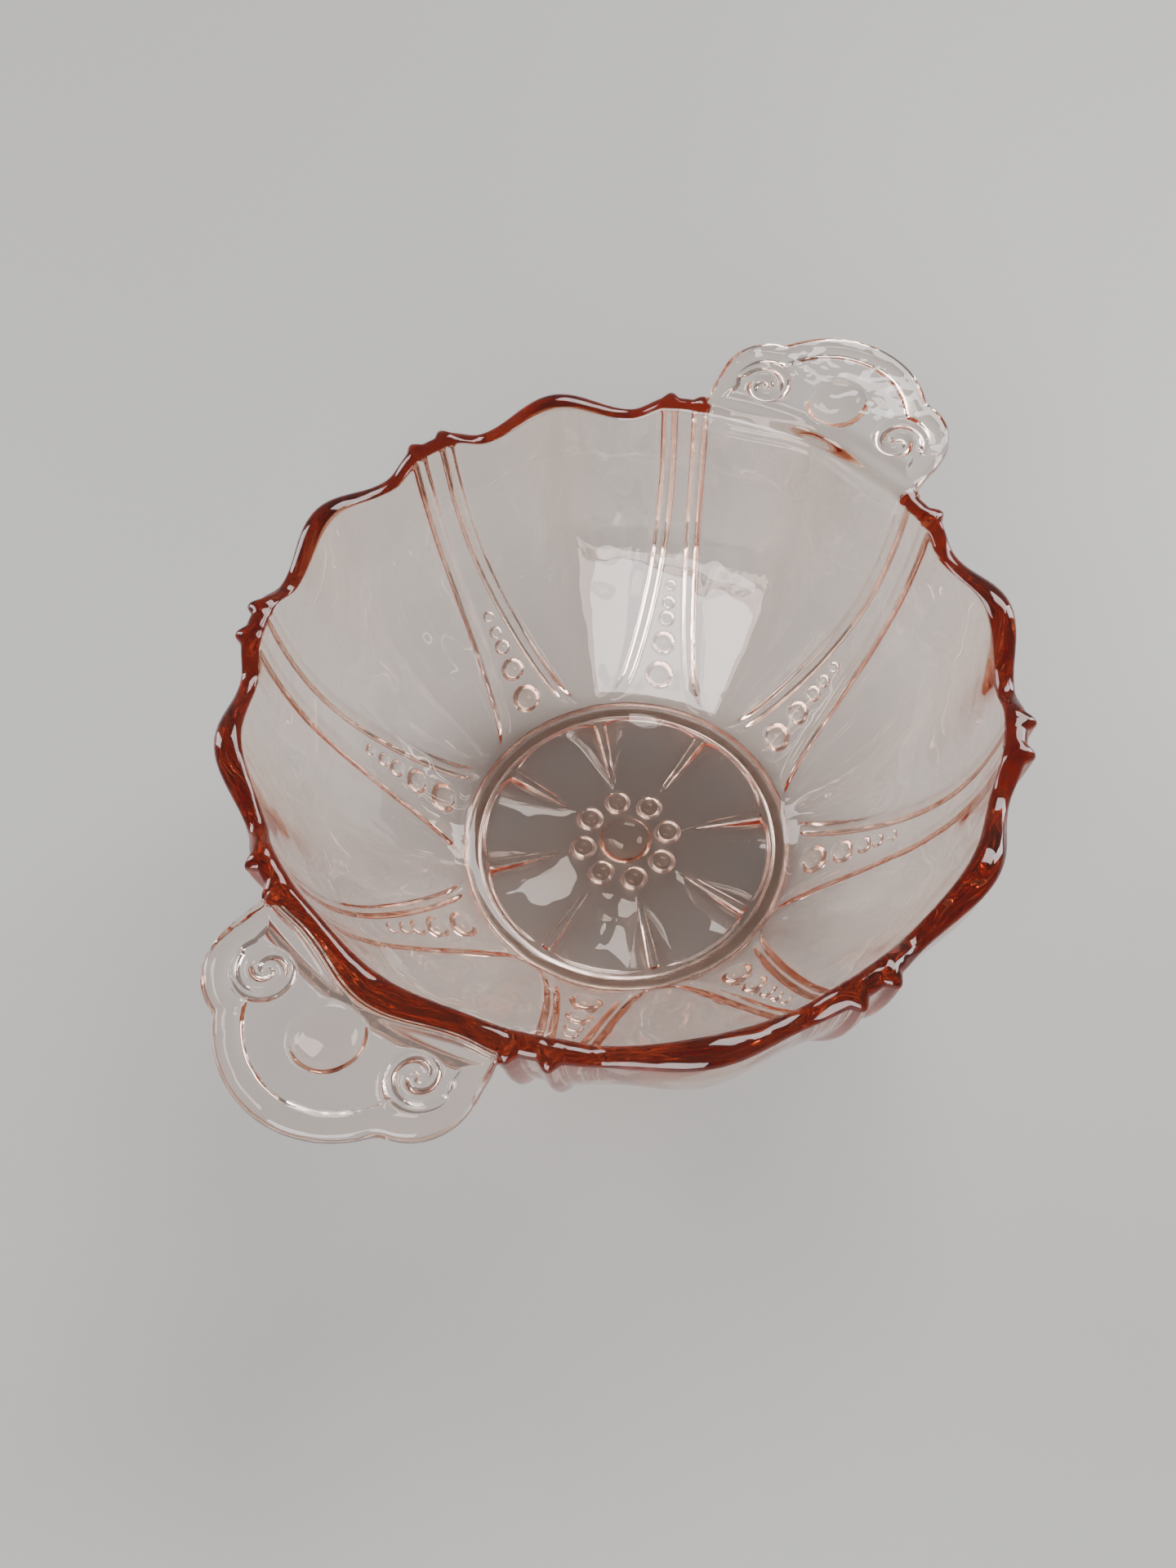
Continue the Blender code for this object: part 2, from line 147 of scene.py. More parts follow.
# Fineness of the mesh
FINENESS = 1.0
LOBE_COLUMNS = int(26 * FINENESS)
HANDLE_COLUMNS = int(90 * FINENESS)
BAND_COLUMNS = int(22 * FINENESS)
CROWDING = 0.65                 # how much closer a lobe's columns stand at its rib
TAB_ROWS = (20, 12, 60, 8)      # over the top of a tab, round its edge, under it, down its root
RIM_ROWS = 9
PLAIN_WALL_ROWS = 45
PEARL_WALL_ROWS = 110
FOOT_ROWS = 9
UNDERSIDE_ROWS = 116
UNDERSIDE_HALVINGS = (0.5, 0.25, 0.12)  # shares of the radius below which half the columns will do
INSIDE_ROWS = 64
CORNER_ROWS = 14
FLOOR_ROWS = 14
FLOOR_HALVINGS = (0.95, 0.7, 0.3)
PROFILE_SAMPLES = 1000
OUTLINE_SAMPLES = 4000

# The glass
GLASS_IOR = 1.52
GLASS_COLOUR = (0.81, 0.45, 0.22, 1.0)
GLASS_DENSITY = 60.0            # with the colour: 11, 33 and 47 per metre of red, green and blue are lost
MOULD_WAVE = (42.0, 0.0012)     # noise scale and height of the bump
TAB_MOTTLING = (200.0, 0.0003)
FOOT_SCUFFS = (2600.0, 0.00004)
BUMP_STRENGTH = 0.25
HAZE_SCALE = 55.0
HAZE_ROUGHNESS = 0.05
WORN_ROUGHNESS = 0.30
WORN_HEIGHTS = (0.1 * MM, 0.6 * MM)     # fully worn below the first, not worn above the second
TAB_STARTS = (83.0 * MM, 90.0 * MM)     # no mottling nearer to the middle, full mottling further out

# Floor and light
STAGE_SIZE = 40.0
STAGE_LEVEL = -0.1 * MM         # just clear of the foot, so that the two faces don't coincide
STAGE_COLOUR = (0.36, 0.352, 0.34, 1.0)
STAGE_ROUGHNESS = 0.45
WORLD_COLOUR = (0.94, 0.96, 1.0, 1.0)
WORLD_STRENGTH = 0.28
LIGHT_DISTANCE = 5.0
SOFT_BOXES = (                  # name, azimuth from the camera's, elevation, size, brightness, colour
    ("key_light", -22, 30, (0.92, 0.69), 11.5, (0.98, 0.98, 1.0)),
    ("window_light", 150, 45, (0.62, 0.38), 11.0, (1.0, 0.98, 0.96)),
    ("right_light", 120, 24, (0.27, 0.62), 12.0, (0.97, 0.98, 1.0)),
    ("left_light", 240, 24, (0.27, 0.62), 10.0, (0.97, 0.98, 1.0)),
)
BOUNCES = 40                    # enough for the light that is led round inside the rim and the ribs

# Camera, at the photograph's viewing angle
CAMERA_AZIMUTH = math.radians(-54.45)
CAMERA_ELEVATION = math.radians(63.0)
CAMERA_DISTANCE = 3.7658 * RIM_RADIUS
CAMERA_AIM = Vector((0.0, 0.0, 0.05 * RIM_RADIUS))
CAMERA_YAW = math.radians(1.731)
CAMERA_PITCH = math.radians(2.805)
CAMERA_ROLL = math.radians(2.003)
FOCAL_LENGTH = 36.08
SENSOR_WIDTH = 36.0


def rows(count):
    return max(2, int(round(count * FINENESS)))


def steps(count):
    """The shares (0 to 1] at which a stretch of the mesh has its rows."""
    return np.arange(1, rows(count) + 1) / rows(count)


def smooth_step(value):
    value = np.clip(value, 0.0, 1.0)
    return value * value * (3.0 - 2.0 * value)


def mix(a, b, share):
    return a + (b - a) * share


def round_about(radius, height, angle):
    """Points at radii, heights and angles about the Z axis."""
    return np.stack(np.broadcast_arrays(radius * np.cos(angle), radius * np.sin(angle), height), 1)


def pearl_cap(distance, radius, proud):
    """How far a pearl stands proud at a distance from its centre."""
    return proud * np.sqrt(np.clip(1.0 - (distance / radius) ** 2, 0.0, 1.0))


# ---- columns -----------------------------------------------------------------------------------------

class Columns:
    """The columns of the mesh, counter-clockwise. Each has its sector, its side of the sector's middle,
    its place across the lobe (1 from the rib on) and across the band beyond the rib (0 up to the rib)."""

    def __init__(self):
        sector, side, lobe, band, place = [], [], [], [], []
        for index in range(LOBES):
            has_handle = index % (LOBES // 2) == 0
            count = HANDLE_COLUMNS if has_handle else LOBE_COLUMNS
            across = np.arange(count + 1) / count
            if not has_handle:
                across = (1.0 + CROWDING) * across - CROWDING * across**2
            beyond = np.arange(1, BAND_COLUMNS + 1) / BAND_COLUMNS
            half_lobe = np.concatenate((across, np.ones(BAND_COLUMNS)))
            half_band = np.concatenate((np.zeros(count + 1), beyond))
            half_place = np.arange(len(half_lobe)) / (len(half_lobe) - 1)
            for whole, half in ((lobe, half_lobe), (band, half_band), (place, half_place)):
                whole.extend(half[1:-1][::-1])
                whole.extend(half)
            side += [-1.0] * (len(half_lobe) - 2) + [1.0] * len(half_lobe)
            sector += [index] * (2 * len(half_lobe) - 2)
        self.sector = np.array(sector)
        self.side = np.array(side)
        self.lobe = np.array(lobe)
        self.band = np.array(band)
        self.count = len(lobe)
        self.middle = self.sector * SECTOR
        self.even = self.middle + self.side * np.array(place) * SECTOR / 2

    def angle(self, share):
        edge = lobe_half_angle(share)
        return self.middle + self.side * (self.lobe * edge + self.band * (SECTOR / 2 - edge))

    def off_rib(self, share):
        """Angle between each column and its rib."""
        edge = lobe_half_angle(share)
        return (1.0 - self.lobe) * edge + self.band * (SECTOR / 2 - edge)


# ---- wall --------------------------------------------------------------------------------------------

def profile(t):
    """The outside of the wall before its relief, and the outward normal there, as (radius, height)."""
    s = 1.0 - t
    a, b, c, d = PROFILE
    point = s**3 * a + 3 * s * s * t * b + 3 * s * t * t * c + t**3 * d
    along = 3 * s * s * (b - a) + 6 * s * t * (c - b) + 3 * t * t * (d - c)
    along /= np.hypot(*along)
    return point, np.array((along[1], -along[0]))


def profile_at(height):
    """Where along the profile a height is reached."""
    grid = np.linspace(0.0, 1.0, PROFILE_SAMPLES)
    return float(np.interp(height, [profile(t)[0][1] for t in grid], grid))


def height_share(height):
    return np.clip((height - WALL_BOTTOM) / (RIM_HEIGHT - WALL_BOTTOM), 0.0, 1.0)


def lobe_half_angle(share):
    """Half the angle a lobe spans: rounded to a tip at the foot, nearly constant higher up."""
    return LOBE_TIP_ANGLE + (LOBE_HALF_ANGLE - LOBE_TIP_ANGLE) * math.sqrt(1.0 - (1.0 - share) ** 4)


def lobe_wave(columns, crest, dip):
    """A wave from the crest in each lobe's middle through its dips and back to nothing at its ribs."""
    fall = 0.5 * (1.0 - np.cos(math.pi * columns.lobe / LOBE_DIP_AT))
    rise = (columns.lobe - LOBE_DIP_AT) / (1.0 - LOBE_DIP_AT)
    flank = -0.5 * dip * (1.0 + np.cos(math.pi * rise))
    wave = np.where(columns.lobe <= LOBE_DIP_AT, mix(crest, -dip, fall), flank)
    return np.where(columns.band > 0.0, 0.0, wave)


def lobe_relief(columns, share):
    """How far the lobes' wave stands out of the wall, strongest at the rim."""
    strength = smooth_step(share / RELIEF_FADE) * mix(RELIEF_AT_FOOT, 1.0, smooth_step(share))
    return strength * lobe_wave(columns, LOBE_CREST, LOBE_DIP)


def rim_wave(columns, share):
    """How far the wave along the rim lifts each column; a handle's lobe has none."""
    wave = share**4 * lobe_wave(columns, CREST_RISE, DIP_DROP)
    return np.where(columns.sector % (LOBES // 2) == 0, 0.0, wave)


def pearl_spots():
    """Centre and outward normal on the profile, and radius, of each pearl of a band."""
    return [(*profile(profile_at(height)), radius) for height, radius in BAND_PEARLS]


def band_pearls(columns, angle, point, spots):
    """How far the pearls stand out of one ring of the wall."""
    across = (angle - columns.middle - columns.side * SECTOR / 2) * point[0]
    proud = np.zeros(columns.count)
    for centre, normal, radius in spots:
        along = np.dot(point - centre, (-normal[1], normal[0]))
        proud = np.maximum(proud, pearl_cap(np.hypot(across, along), radius, PEARL_FLATTENING * radius))
    return proud


def outer_ring(columns, t, spots=()):
    """Radius, height and angle of each column on the outside of the wall."""
    point, normal = profile(t)
    share = height_share(point[1])
    angle = columns.angle(share)
    off_rib = columns.off_rib(share) * point[0] / RIB_WIDTH
    rib = RIB_HEIGHT * np.clip(1.0 - off_rib**2, 0.0, 1.0) ** RIB_FULLNESS
    out = lobe_relief(columns, share) + smooth_step(share / RELIEF_FADE) * rib
    out = out + band_pearls(columns, angle, point, spots)
    return point[0] + normal[0] * out, point[1] + normal[1] * out + rim_wave(columns, share), angle


def inner_ring(columns, t):
    """Radius, height and angle of each column on the inside of the wall."""
    point, normal = profile(t)
    share = height_share(point[1])
    out = INSIDE_RELIEF * lobe_relief(columns, share) - WALL_THICKNESS
    height = point[1] + normal[1] * out + rim_wave(columns, share)
    return point[0] + normal[0] * out, height, columns.angle(share)


# ---- handles -----------------------------------------------------------------------------------------

def exit_distance(direction):
    """How far rays from the middle lobe's centre run inside the handle's outline, its notches softened."""
    centre = MIDDLE_LOBE[0]
    reaches = []
    for x, y, radius in (MIDDLE_LOBE, SIDE_LOBE):
        along = direction[:, 0] * (x - centre) + direction[:, 1] * y
        square = along**2 - (x - centre) ** 2 - y**2 + radius**2
        reaches.append(np.where(square > 0.0, along + np.sqrt(np.maximum(square, 0.0)), 0.0))
    back = (centre - NECK_BACK) / np.maximum(-direction[:, 0], 1e-6)
    neck = NECK_HALF_WIDTH / np.maximum(direction[:, 1], 1e-6)
    reaches.append(np.where(direction[:, 0] < 0.0, np.minimum(back, neck), 0.0))
    furthest = np.max(reaches, 0)
    spread = np.exp((np.array(reaches) - furthest) / NOTCH_SOFTNESS).sum(0)
    return furthest + NOTCH_SOFTNESS * np.log(spread)


def half_outline(share):
    """Points of the outline's +Y half, by their share of its length from the tip to the bowl's rib."""
    turn = np.linspace(0.0, math.pi, OUTLINE_SAMPLES)
    direction = np.stack((np.cos(turn), np.sin(turn)), 1)
    points = direction * exit_distance(direction)[:, None] + (MIDDLE_LOBE[0], 0.0)
    points = points[:int(np.argmax(np.hypot(*points.T) < RIM_RADIUS + RIB_HEIGHT))]
    length = np.concatenate(((0.0,), np.cumsum(np.hypot(*np.diff(points, axis=0).T))))
    return [np.interp(share * length[-1], length, points[:, axis]) for axis in (0, 1)]


def inside_depth(x, y):
    """How deep a place lies inside the handle's outline."""
    depth = np.where(x < MIDDLE_LOBE[0], NECK_HALF_WIDTH - np.abs(y), -1.0)
    for centre_x, centre_y, radius in (MIDDLE_LOBE, SIDE_LOBE):
        depth = np.maximum(depth, radius - np.hypot(x - centre_x, np.abs(y) - centre_y))
    return depth


def scroll_relief(x, y):
    """The raised spiral line in each side lobe."""
    right = x - SCROLL_AT[0]
    outward = np.abs(y) - SCROLL_AT[1]
    distance = np.hypot(right, outward)
    turn = np.mod(0.5 * math.pi - np.arctan2(outward, right), 2 * math.pi) / (2 * math.pi)
    relief = 0.0
    for lap in range(math.ceil(SCROLL_TURNS)):
        line = SCROLL_RADIUS * (1.0 - (turn + lap) / SCROLL_TURNS)
        ridge = SCROLL_HEIGHT * np.exp(-(((distance - line) / SCROLL_LINE) ** 2))
        relief = np.maximum(relief, np.where(line > 0.0, ridge, 0.0))
    return relief


def handle_thickness(x, y):
    """A rounded border round a recessed field with a button and two scrolls, all on the underside."""
    past_edge = np.maximum(inside_depth(x, y) - HANDLE_EDGE, 0.0)
    border = pearl_cap(past_edge, BORDER_WIDTH - HANDLE_EDGE, FIELD_RECESS)
    button = pearl_cap(np.hypot(x - BUTTON_AT, y), BUTTON_RADIUS, BUTTON_HEIGHT)
    root = FIELD_RECESS * smooth_step((RIM_RADIUS + ROOT_REACH - np.hypot(x, y)) / ROOT_STEP)
    relief = np.maximum(np.maximum(button, scroll_relief(x, y)), np.maximum(border, root))
    return HANDLE_THICKNESS - FIELD_RECESS + relief


def handle_top(x, start):
    return RIM_HEIGHT + np.maximum(x - start, 0.0) * HANDLE_SLOPE


class Handles:
    """Where the columns of the two handles' lobes run, each handle in its own frame, pointing to +X."""

    def __init__(self, columns):
        outer_radius, _, angle = outer_ring(columns, 1.0)
        inner_radius, _, _ = inner_ring(columns, 1.0)
        middle_radius = 0.5 * (outer_radius + inner_radius)
        turn = angle - columns.middle
        self.start = middle_radius * np.cos(turn), middle_radius * np.sin(turn)
        self.wall = outer_radius * np.cos(turn), outer_radius * np.sin(turn)
        x, y = half_outline(columns.lobe)
        self.tip = x, y * columns.side
        self.top_length = self.reach_from(self.start)
        self.under_length = self.reach_from(self.wall)
        self.rounding = np.minimum(HANDLE_EDGE, 0.5 * self.under_length)
        self.fillet = np.minimum(ROOT_FILLET, ROOT_FILLET_SHARE * self.under_length)
        mine = (columns.sector % (LOBES // 2) == 0) & (columns.band == 0.0)
        self.weight = np.where(mine, smooth_step(self.under_length / HANDLE_BLEND), 0.0)

    def reach_from(self, place):
        return np.maximum(np.hypot(self.tip[0] - place[0], self.tip[1] - place[1]), 0.01 * MM)

    def at(self, start, share):
        """Places part of the way from the start to the outline."""
        return mix(start[0], self.tip[0], share), mix(start[1], self.tip[1], share)

    def top_ring(self, along):
        x, y = self.at(self.start, along * (1.0 - self.rounding / self.top_length))
        return x, y, handle_top(x, self.start[0])

    def edge_ring(self, along):
        inset = self.rounding * (1.0 - math.sin(math.pi * along))
        x, y = self.at(self.start, 1.0 - inset / self.top_length)
        drop = 0.5 * HANDLE_THICKNESS * (1.0 - math.cos(math.pi * along))
        return x, y, handle_top(x, self.start[0]) - drop

    def under_ring(self, along):
        share = mix(1.0 - self.rounding / self.under_length, self.fillet / self.under_length, along)
        x, y = self.at(self.wall, share)
        return x, y, handle_top(x, self.start[0]) - handle_thickness(x, y)

    def root_ring(self, along):
        x, y = self.at(self.wall, (1.0 - along) ** 2 * self.fillet / self.under_length)
        return x, y, handle_top(x, self.start[0]) - handle_thickness(x, y) - ROOT_DROP * along**2

    def rings(self):
        """Rings over the top of the tab, round its edge, back under it and down into the wall."""
        stretches = (self.top_ring, self.edge_ring, self.under_ring, self.root_ring)
        for ring, count in zip(stretches, TAB_ROWS):
            for along in steps(count):
                yield ring(along)


def rim_rings(columns):
    """Rings from the top of the rim outwards, over the handles, to where the plain wall takes over."""
    handles = Handles(columns)
    outer_radius, outer_height, angle = outer_ring(columns, 1.0)
    inner_radius, _, _ = inner_ring(columns, 1.0)
    middle_radius = 0.5 * (outer_radius + inner_radius)
    root = RIM_HEIGHT - HANDLE_THICKNESS + FIELD_RECESS - ROOT_DROP
    end = profile_at(root)
    cos, sin = np.cos(columns.middle), np.sin(columns.middle)
    over_handle = list(handles.rings())
    top = RIM_HEIGHT + rim_wave(columns, 1.0)
    result = [round_about(middle_radius, top, angle)]
    for index, (x, y, z) in enumerate(over_handle):
        share = (index + 1) / len(over_handle)
        if share < 0.5:
            turn = math.pi * share
            radius = mix(middle_radius, outer_radius, math.sin(turn))
            plain = round_about(radius, mix(outer_height, top, math.cos(turn)), angle)
        else:
            plain = round_about(*outer_ring(columns, mix(1.0, end, 2.0 * share - 1.0)))
        tab = np.stack((x * cos - y * sin, x * sin + y * cos, z), 1)
        result.append(mix(plain, tab, handles.weight[:, None]))
    return result, end


# ---- base --------------------------------------------------------------------------------------------

def foot_section():
    """The foot's outline from the wall round to the underside of the floor: (radius, height)."""
    outer_flat = FOOT_RADIUS - 0.5 * (FOOT_WIDTH - FOOT_FLAT)
    inner_flat = outer_flat - FOOT_FLAT
    inner = FOOT_RADIUS - FOOT_WIDTH
    shoulder = FOOT_SHOULDER * FOOT_HEIGHT
    quarter = 0.5 * math.pi * np.arange(rows(FOOT_ROWS) + 1) / rows(FOOT_ROWS)
    outer_round = [(mix(outer_flat, FOOT_RADIUS, math.cos(a)), shoulder * (1 - math.sin(a))) for a in quarter]
    inner_round = [(mix(inner_flat, inner, math.sin(a)), shoulder * (1 - math.cos(a))) for a in quarter]
    corner = [
        (inner - FOOT_CORNER * (1 - math.cos(a)), mix(shoulder, FOOT_HEIGHT, math.sin(a)))
        for a in quarter[1:]
    ]
    return outer_round + inner_round + corner


def medallion_height(radius, angle):
    """The underside of the floor: flutes hollowed up into it, a hub and a ring of pearls standing down."""
    off_ridge = 0.5 * SECTOR * (1.0 - np.abs(2.0 * np.mod(angle / SECTOR, 1.0) - 1.0))
    flute = np.clip(off_ridge - RIDGE_WIDTH, 0.0, None) / (0.5 * SECTOR - RIDGE_WIDTH)
    crown = 1.0 - (1.0 - flute) ** PETAL_ROUNDNESS
    reach = smooth_step((radius - PETAL_INNER) / (PETAL_CUSP - PETAL_INNER))
    inside = smooth_step((PETAL_CUSP + PETAL_SCALLOP * crown - radius) / PETAL_STEP)
    ridge = pearl_cap(off_ridge, RIDGE_WIDTH, RIDGE_PROUD) * smooth_step(2.0 * reach)
    height = MEDALLION_BOTTOM + (PETAL_DEPTH * reach * crown - ridge) * inside
    x, y = radius * np.cos(angle), radius * np.sin(angle)
    proud = pearl_cap(np.hypot(x, y), HUB_RADIUS, HUB_PROUD)
    for index in range(LOBES):
        turn = index * SECTOR
        away = np.hypot(x - RING_RADIUS * math.cos(turn), y - RING_RADIUS * math.sin(turn))
        proud = np.maximum(proud, pearl_cap(away, RING_PEARL_RADIUS, RING_PEARL_PROUD))
    return np.where(proud > 0.0, MEDALLION_BOTTOM - proud, height)


# ---- the closed body ---------------------------------------------------------------------------------

class Loft:
    """Rings of points joined into faces that look away from the glass."""

    def __init__(self):
        self.points = []
        self.faces = []
        self.total = 0
        self.last = None
        self.flip = False

    def add_face_block(self, *corners):
        block = np.stack(corners, 1)
        self.faces.append(block[:, ::-1] if self.flip else block)

    def add_ring(self, ring):
        """Joins a ring to the last one. A ring half as long leaves out every second column."""
        ids = np.arange(self.total, self.total + len(ring))
        self.points.append(ring)
        self.total += len(ring)
        if self.last is not None and len(self.last) == len(ids):
            self.add_face_block(self.last, ids, np.roll(ids, -1), np.roll(self.last, -1))
        elif self.last is not None:
            kept, dropped = self.last[0::2], self.last[1::2]
            self.add_face_block(kept, ids, dropped)
            self.add_face_block(dropped, ids, np.roll(ids, -1))
            self.add_face_block(dropped, np.roll(ids, -1), np.roll(kept, -1))
        self.last = ids

    def add_centre(self, point):
        """Closes the hole inside the last ring."""
        centre = np.full(len(self.last), self.total)
        self.points.append(np.array((point,)))
        self.total += 1
        self.add_face_block(self.last, centre, np.roll(self.last, -1))

    def mesh(self, name):
        data = bpy.data.meshes.new(name)
        faces = [face for block in self.faces for face in block.tolist()]
        data.from_pydata(np.concatenate(self.points).tolist(), [], faces)
        data.shade_smooth()
        return data


def disc_rings(loft, columns, edge, count, halvings, height):
    """Rings from an edge towards the Z axis, with half the columns inside each of some shares of it."""
    for radius in edge * (1.0 - steps(count)[:-1]):
        keep = 2 ** sum(radius < share * edge for share in halvings)
        angle = columns.even[::keep]
        loft.add_ring(round_about(radius, height(radius, angle), angle))


def make_dish():
    columns = Columns()
    loft = Loft()

    # Outside: rim, handles, wall, foot and underside
    rim, end = rim_rings(columns)
    for ring in rim:
        loft.add_ring(ring)
    spots = pearl_spots()
    pearls_end = profile_at(BAND_PEARLS[-1][0] + BAND_PEARLS[-1][1])
    for share in steps(PLAIN_WALL_ROWS):
        loft.add_ring(round_about(*outer_ring(columns, mix(end, pearls_end, share))))
    for share in steps(PEARL_WALL_ROWS):
        loft.add_ring(round_about(*outer_ring(columns, pearls_end * (1.0 - share), spots)))
    section = foot_section()
    for index, (radius, height) in enumerate(section):
        angle = mix(columns.angle(0.0), columns.even, smooth_step(index / (len(section) - 1)))
        loft.add_ring(round_about(radius, height, angle))
    disc_rings(loft, columns, section[-1][0], UNDERSIDE_ROWS, UNDERSIDE_HALVINGS, medallion_height)
    loft.add_centre((0.0, 0.0, MEDALLION_BOTTOM - HUB_PROUD))

    # Inside: the rest of the rim's rounding, wall, round corner and floor
    loft.flip = True
    loft.last = np.arange(columns.count)
    outer_radius, _, angle = outer_ring(columns, 1.0)
    inner_radius, inner_height, _ = inner_ring(columns, 1.0)
    middle_radius = 0.5 * (outer_radius + inner_radius)
    top = RIM_HEIGHT + rim_wave(columns, 1.0)
    for share in steps(RIM_ROWS):
        turn = 0.5 * math.pi * share
        radius = mix(middle_radius, inner_radius, math.sin(turn))
        loft.add_ring(round_about(radius, mix(inner_height, top, math.cos(turn)), angle))
    for share in steps(INSIDE_ROWS):
        loft.add_ring(round_about(*inner_ring(columns, mix(1.0, FILLET_AT, share))))
    wall_radius, wall_height, wall_angle = inner_ring(columns, FILLET_AT)
    _, normal = profile(FILLET_AT)
    corner_radius = wall_radius + (wall_height - FLOOR_TOP) * normal[1] / normal[0]
    for share in steps(CORNER_ROWS):
        rest = 1.0 - share
        radius = rest**2 * wall_radius + 2 * share * rest * corner_radius + share**2 * FLOOR_RADIUS
        height = mix(FLOOR_TOP, wall_height, rest**2)
        loft.add_ring(round_about(radius, height, mix(wall_angle, columns.even, smooth_step(share))))
    disc_rings(loft, columns, FLOOR_RADIUS, FLOOR_ROWS, FLOOR_HALVINGS, lambda radius, angle: FLOOR_TOP)
    loft.add_centre((0.0, 0.0, FLOOR_TOP))

    dish = bpy.data.objects.new("pressed_dish", loft.mesh("pressed_dish"))
    bpy.context.scene.collection.objects.link(dish)
    return dish


# ---- glass -------------------------------------------------------------------------------------------

def glass_material():
    """Clear pink glass: colour comes from the depth of glass that the light passes, as in the real one.
    The surface is a little wavy from the mould, mottled on the tabs, faintly hazed by use, and worn dull
    where it stands."""
    material = bpy.data.materials.new("pink_pressed_glass")
    material.use_nodes = True
    nodes, links = material.node_tree.nodes, material.node_tree.links
    shader = nodes["Principled BSDF"]
    shader.inputs["Base Color"].default_value = (1.0, 1.0, 1.0, 1.0)
    shader.inputs["Transmission Weight"].default_value = 1.0
    shader.inputs["IOR"].default_value = GLASS_IOR

    volume = nodes.new("ShaderNodeVolumeAbsorption")
    volume.inputs["Color"].default_value = GLASS_COLOUR
    volume.inputs["Density"].default_value = GLASS_DENSITY
    links.new(volume.outputs["Volume"], nodes["Material Output"].inputs["Volume"])

    place = nodes.new("ShaderNodeTexCoord").outputs["Object"]

    def noise(scale, detail):
        node = nodes.new("ShaderNodeTexNoise")
        node.inputs["Scale"].default_value = scale
        node.inputs["Detail"].default_value = detail
        links.new(place, node.inputs["Vector"])
        return node.outputs["Fac"]

    def ramp(value, start, end, low, high):
        node = nodes.new("ShaderNodeMapRange")
        node.interpolation_type = "SMOOTHSTEP"
        for name, number in (("From Min", start), ("From Max", end), ("To Min", low), ("To Max", high)):
            node.inputs[name].default_value = number
        links.new(value, node.inputs["Value"])
        return node.outputs["Result"]

    def combine(operation, first, second):
        node = nodes.new("ShaderNodeMath")
        node.operation = operation
        links.new(first, node.inputs[0])
        links.new(second, node.inputs[1])
        return node.outputs["Value"]

    place_split = nodes.new("ShaderNodeSeparateXYZ")
    links.new(place, place_split.inputs["Vector"])
    height = place_split.outputs["Z"]
    haze = ramp(noise(HAZE_SCALE, 6.0), 0.52, 0.78, 0.0, HAZE_ROUGHNESS)
    wear = ramp(height, *WORN_HEIGHTS, WORN_ROUGHNESS, 0.0)
    links.new(combine("MAXIMUM", haze, wear), shader.inputs["Roughness"])

    scuffs = ramp(noise(FOOT_SCUFFS[0], 2.0), 0.4, 0.6, 0.0, FOOT_SCUFFS[1])
    worn = ramp(height, *WORN_HEIGHTS, 1.0, 0.0)
    wave = ramp(noise(MOULD_WAVE[0], 2.0), 0.2, 0.8, 0.0, MOULD_WAVE[1])
    mottling = ramp(noise(TAB_MOTTLING[0], 1.0), 0.3, 0.7, 0.0, TAB_MOTTLING[1])
    off_middle = nodes.new("ShaderNodeMath")
    off_middle.operation = "ABSOLUTE"
    links.new(place_split.outputs["X"], off_middle.inputs[0])
    on_tab = ramp(off_middle.outputs["Value"], *TAB_STARTS, 0.0, 1.0)
    local = combine("ADD", combine("MULTIPLY", scuffs, worn), combine("MULTIPLY", mottling, on_tab))

    bump = nodes.new("ShaderNodeBump")
    bump.inputs["Strength"].default_value = BUMP_STRENGTH
    bump.inputs["Distance"].default_value = 1.0
    links.new(combine("ADD", wave, local), bump.inputs["Height"])
    links.new(bump.outputs["Normal"], shader.inputs["Normal"])
    return material


# ---- floor, light and camera -------------------------------------------------------------------------

def make_floor():
    data = bpy.data.meshes.new("floor")
    corners = [(x * STAGE_SIZE, y * STAGE_SIZE, STAGE_LEVEL) for x, y in ((-1, -1), (1, -1), (1, 1), (-1, 1))]
    data.from_pydata(corners, [], [(0, 1, 2, 3)])
    floor = bpy.data.objects.new("floor", data)
    bpy.context.scene.collection.objects.link(floor)
    material = bpy.data.materials.new("pale_floor")
    material.use_nodes = True
    shader = material.node_tree.nodes["Principled BSDF"]
    shader.inputs["Base Color"].default_value = STAGE_COLOUR
    shader.inputs["Roughness"].default_value = STAGE_ROUGHNESS
    data.materials.append(material)


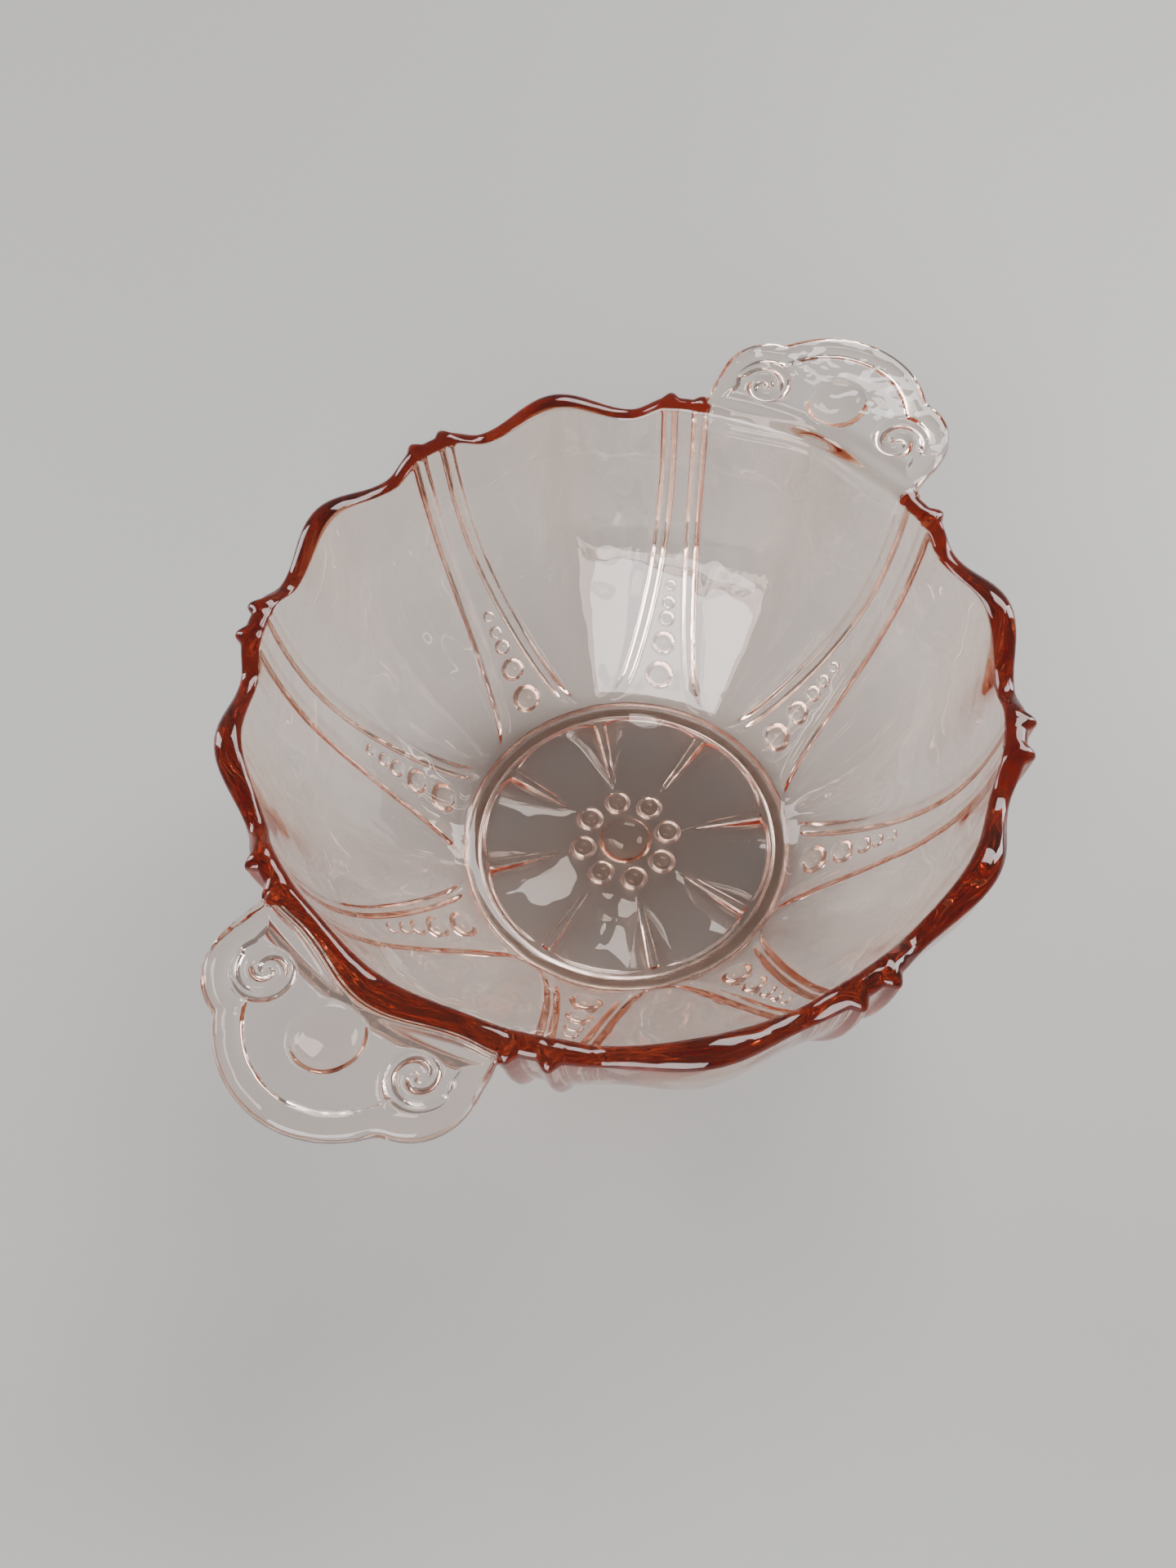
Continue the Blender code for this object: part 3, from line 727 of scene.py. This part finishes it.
def add_soft_box(name, azimuth, elevation, size, brightness, colour):
    """A rectangular soft light that faces the dish. Azimuth and elevation, in degrees, are where it stands;
    its size is a share of its distance."""
    data = bpy.data.lights.new(name, "AREA")
    data.shape = "RECTANGLE"
    data.size, data.size_y = (LIGHT_DISTANCE * share for share in size)
    data.energy = brightness * math.pi * data.size * data.size_y
    data.color = colour
    light = bpy.data.objects.new(name, data)
    bpy.context.scene.collection.objects.link(light)
    away = Matrix.Rotation(math.radians(azimuth), 4, "Z") @ Vector((
        0.0, -math.cos(math.radians(elevation)), math.sin(math.radians(elevation))))
    light.location = away * LIGHT_DISTANCE
    light.rotation_euler = away.to_track_quat("Z", "Y").to_euler()
    light.visible_camera = False


def make_light():
    world = bpy.data.worlds.new("studio")
    world.use_nodes = True
    background = world.node_tree.nodes["Background"]
    background.inputs["Color"].default_value = WORLD_COLOUR
    background.inputs["Strength"].default_value = WORLD_STRENGTH
    bpy.context.scene.world = world
    for name, azimuth, *rest in SOFT_BOXES:
        add_soft_box(name, math.degrees(CAMERA_AZIMUTH) + azimuth, *rest)


def make_camera():
    data = bpy.data.cameras.new("camera")
    data.sensor_fit = "HORIZONTAL"
    data.sensor_width = SENSOR_WIDTH
    data.lens = FOCAL_LENGTH
    camera = bpy.data.objects.new("camera", data)
    bpy.context.scene.collection.objects.link(camera)
    back = Vector((0.0, -math.cos(CAMERA_ELEVATION), math.sin(CAMERA_ELEVATION)))
    stand = Matrix.Translation(CAMERA_AIM) @ Matrix.Rotation(CAMERA_AZIMUTH, 4, "Z")
    tilt = Matrix.Rotation(math.pi / 2 - CAMERA_ELEVATION, 4, "X")
    glance = (Matrix.Rotation(CAMERA_YAW, 4, "Y") @ Matrix.Rotation(CAMERA_PITCH, 4, "X")
              @ Matrix.Rotation(-CAMERA_ROLL, 4, "Z"))
    camera.matrix_world = stand @ Matrix.Translation(back * CAMERA_DISTANCE) @ tilt @ glance
    bpy.context.scene.camera = camera


def main():
    dish = make_dish()
    dish.data.materials.append(glass_material())
    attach(dish, "root")
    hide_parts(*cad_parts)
    make_floor()
    make_light()
    make_camera()
    cycles = bpy.context.scene.cycles
    cycles.max_bounces = BOUNCES
    cycles.transmission_bounces = BOUNCES
    cycles.glossy_bounces = BOUNCES


main()
